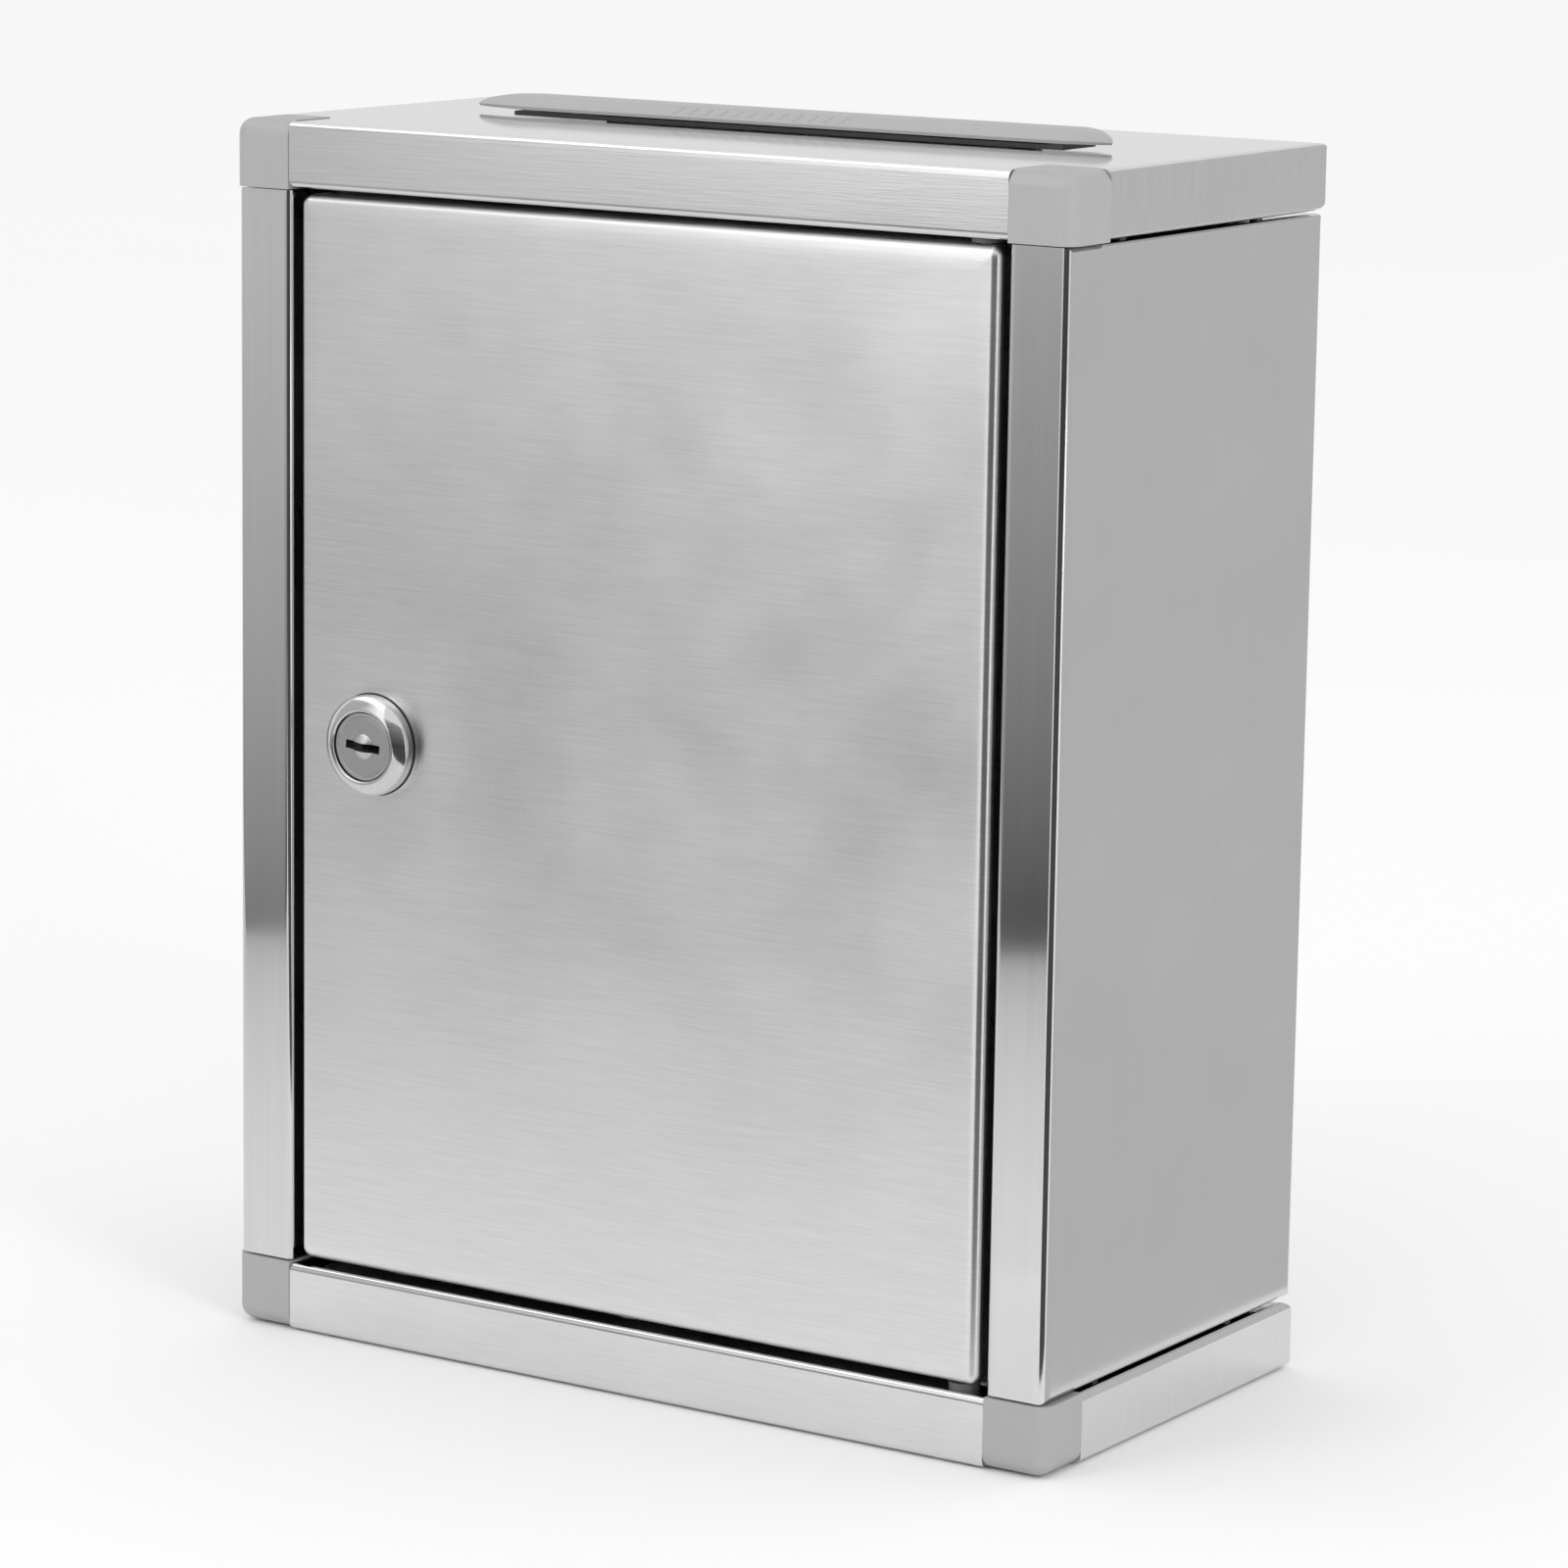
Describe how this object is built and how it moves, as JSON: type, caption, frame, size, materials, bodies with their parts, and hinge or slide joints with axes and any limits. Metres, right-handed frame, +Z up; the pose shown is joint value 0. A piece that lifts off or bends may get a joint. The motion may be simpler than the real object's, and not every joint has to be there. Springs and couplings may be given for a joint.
{
  "type": "donation box",
  "caption": "Wall-hung or standing stainless-steel donation box with a hinged locking front door and a lift-up hood over a top note slot.",
  "frame": {"origin": "middle of the footprint, on the bottom tray's underside", "axes": "+Z up, +Y towards the wall behind, the door faces -Y, +X to the right as seen from in front"},
  "size_m": [0.2516, 0.1333, 0.3247],
  "materials": {
    "brushed_stainless": "hairline brushed along its length",
    "bright_stainless": "bright annealed, faint vertical grain",
    "grey_plastic": "satin moulded",
    "dark_plastic": "moulded",
    "nylon": "natural",
    "chrome": "polished",
    "die_cast_zinc": "satin nickel on die-cast zinc",
    "plated_steel": "zinc plated",
    "rivet_aluminium": "plain",
    "brass": "stamped",
    "rubber": "matte"
  },
  "bodies": {
    "cabinet": {"top_tray": "brushed_stainless", "bottom_tray": "brushed_stainless", "left_side_panel": "bright_stainless", "right_side_panel": "bright_stainless", "door_stop": "bright_stainless", "back_panel": "bright_stainless", "top_left_cap": "grey_plastic", "top_right_cap": "grey_plastic", "bottom_left_cap": "grey_plastic", "bottom_right_cap": "grey_plastic", "top_tray_rivets": "rivet_aluminium", "bottom_tray_rivets": "rivet_aluminium", "top_hinge_pin": "plated_steel", "bottom_hinge_pin": "plated_steel", "top_hinge_washer": "nylon", "bottom_hinge_washer": "nylon", "door_bumpers": "rubber", "slot_frame": "dark_plastic", "flap_hinge_pin": "plated_steel"},
    "door": {"door_panel": "brushed_stainless", "top_pivot_plate": "bright_stainless", "bottom_pivot_plate": "bright_stainless", "lock_bezel": "chrome", "lock_housing": "die_cast_zinc", "lock_washer": "plated_steel", "lock_nut": "die_cast_zinc"},
    "lock_core": {"lock_plug": "die_cast_zinc", "lock_wafers": "brass", "lock_cam": "plated_steel", "cam_screw": "plated_steel"},
    "flap": {"slot_flap": "grey_plastic"}
  },
  "joints": [
    {"name": "door_swing", "type": "hinge", "parent": "cabinet", "child": "door", "pos_m": [0.0985, -0.0572, 0.16], "axis": [0, 0, 1], "range_deg": [0, 110]},
    {"name": "lock_turn", "type": "hinge", "parent": "door", "child": "lock_core", "pos_m": [-0.08, -0.063, 0.161], "axis": [0, 1, 0], "range_deg": [0, 90]},
    {"name": "flap_lift", "type": "hinge", "parent": "cabinet", "child": "flap", "pos_m": [0, 0.0204, 0.3219], "axis": [-1, 0, 0], "range_deg": [0, 75]}
  ]
}
